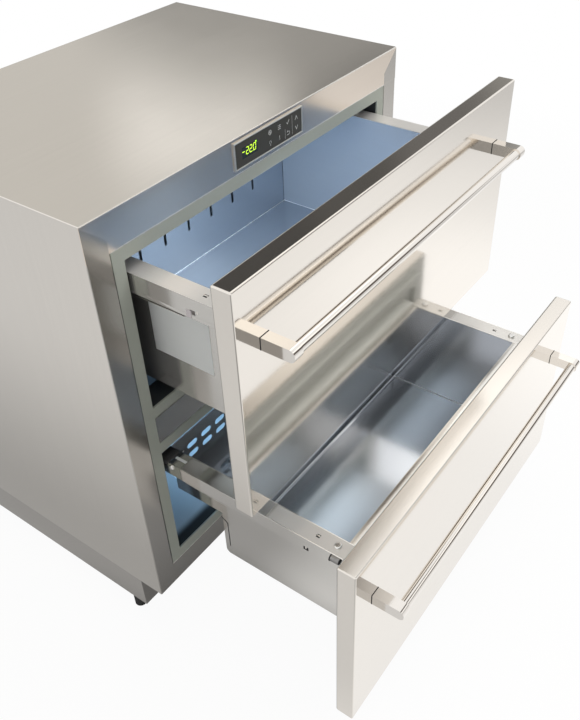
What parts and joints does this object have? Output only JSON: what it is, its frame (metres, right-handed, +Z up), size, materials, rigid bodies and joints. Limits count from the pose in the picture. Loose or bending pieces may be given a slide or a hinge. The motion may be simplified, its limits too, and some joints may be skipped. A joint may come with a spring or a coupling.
{
  "type": "built-in drawer freezer",
  "caption": "Under-counter freezer cabinet in stainless steel with pull-out drawers on telescopic runners, bar handles, a touch control panel and levelling feet.",
  "frame": {"origin": "middle of the part's footprint on the floor, with the drawers pulled out as pictured", "axes": "+X to the right seen from the front, +Y to the back, +Z up"},
  "size_m": [0.75, 0.974, 0.858],
  "materials": {
    "stainless": "satin",
    "drawer_steel": "satin",
    "zinc_steel": "satin",
    "strip_plastic": "matte",
    "liner_plastic": "satin",
    "foam": "matte",
    "seal_rubber": "matte",
    "bezel_metal": "satin",
    "panel_black": "gloss",
    "display_glass": "gloss",
    "lamp_white": "gloss",
    "black_plastic": "matte",
    "coil_aluminium": "satin",
    "compressor_black": "satin",
    "mount_rubber": "matte",
    "copper": "satin"
  },
  "bodies": {
    "cabinet": {"top_panel": "stainless", "side_panels": "stainless", "front_frame": "stainless", "top_fascia": "stainless", "plinth": "stainless", "rear_panel": "zinc_steel", "rear_grille": "zinc_steel", "base_pan": "zinc_steel", "compressor_tray": "zinc_steel", "foot_sockets": "zinc_steel", "fixed_runners": "zinc_steel", "breaker_strips": "strip_plastic", "inner_liner": "liner_plastic", "evaporator_cover": "liner_plastic", "foam_insulation": "foam", "control_bezel": "bezel_metal", "touch_panel": "panel_black", "display_window": "display_glass", "interior_lamp": "lamp_white", "controller_case": "black_plastic", "evaporator_fan_motor": "black_plastic", "condenser_fan_motor": "black_plastic", "electrical_box": "black_plastic", "mains_inlet": "black_plastic", "condensate_tray": "black_plastic", "evaporator_coil": "coil_aluminium", "condenser_coil": "coil_aluminium", "compressor": "compressor_black", "compressor_grommets": "mount_rubber", "refrigerant_pipes": "copper"},
    "upper_drawer": {"upper_front_skin": "stainless", "upper_front_foam": "foam", "upper_inner_panel": "liner_plastic", "upper_seal": "seal_rubber", "upper_handle_bar": "stainless", "upper_handle_posts": "stainless", "upper_box_sides": "drawer_steel", "upper_box_ends": "drawer_steel", "upper_box_floor": "drawer_steel", "upper_drawer_runners": "zinc_steel", "upper_flange_bolts": "zinc_steel"},
    "lower_drawer": {"lower_front_skin": "stainless", "lower_front_foam": "foam", "lower_inner_panel": "liner_plastic", "lower_seal": "seal_rubber", "lower_handle_bar": "stainless", "lower_handle_posts": "stainless", "lower_box_sides": "drawer_steel", "lower_box_ends": "drawer_steel", "lower_box_floors": "drawer_steel", "lower_drawer_runners": "zinc_steel", "lower_flange_bolts": "zinc_steel"},
    "upper_runner_middle": {"upper_middle_runners": "zinc_steel"},
    "lower_runner_middle": {"lower_middle_runners": "zinc_steel"},
    "evaporator_rotor": {"evaporator_fan": "black_plastic"},
    "condenser_rotor": {"condenser_fan": "black_plastic"},
    "foot_fr": {"foot_front_right": "black_plastic"},
    "foot_fl": {"foot_front_left": "black_plastic"},
    "foot_rr": {"foot_rear_right": "black_plastic"},
    "foot_rl": {"foot_rear_left": "black_plastic"}
  },
  "joints": [
    {"name": "upper_drawer_slide", "type": "slide", "parent": "cabinet", "child": "upper_drawer", "axis": [0, -1, 0], "range_m": [-0.1905, 0.1895]},
    {"name": "lower_drawer_slide", "type": "slide", "parent": "cabinet", "child": "lower_drawer", "axis": [0, -1, 0], "range_m": [-0.3585, 0.0215]},
    {"name": "upper_runner_slide", "type": "slide", "parent": "cabinet", "child": "upper_runner_middle", "axis": [0, -1, 0], "range_m": [-0.09535, 0.09485]},
    {"name": "lower_runner_slide", "type": "slide", "parent": "cabinet", "child": "lower_runner_middle", "axis": [0, -1, 0], "range_m": [-0.17935, 0.01085]},
    {"name": "evaporator_fan_spin", "type": "hinge", "parent": "cabinet", "child": "evaporator_rotor", "pos_m": [0, 0.376, 0.647], "axis": [0, 1, 0], "continuous": true},
    {"name": "condenser_fan_spin", "type": "hinge", "parent": "cabinet", "child": "condenser_rotor", "pos_m": [0.19, 0.3625, 0.12], "axis": [0, 1, 0], "continuous": true},
    {"name": "foot_fr_level", "type": "slide", "parent": "cabinet", "child": "foot_fr", "axis": [0, 0, -1], "range_m": [-0.005, 0.03]},
    {"name": "foot_fl_level", "type": "slide", "parent": "cabinet", "child": "foot_fl", "axis": [0, 0, -1], "range_m": [-0.005, 0.03]},
    {"name": "foot_rr_level", "type": "slide", "parent": "cabinet", "child": "foot_rr", "axis": [0, 0, -1], "range_m": [-0.005, 0.03]},
    {"name": "foot_rl_level", "type": "slide", "parent": "cabinet", "child": "foot_rl", "axis": [0, 0, -1], "range_m": [-0.005, 0.03]}
  ],
  "couplings": [
    {"joint": "upper_runner_slide", "follows": "upper_drawer_slide", "ratio": 0.5},
    {"joint": "lower_runner_slide", "follows": "lower_drawer_slide", "ratio": 0.5}
  ]
}
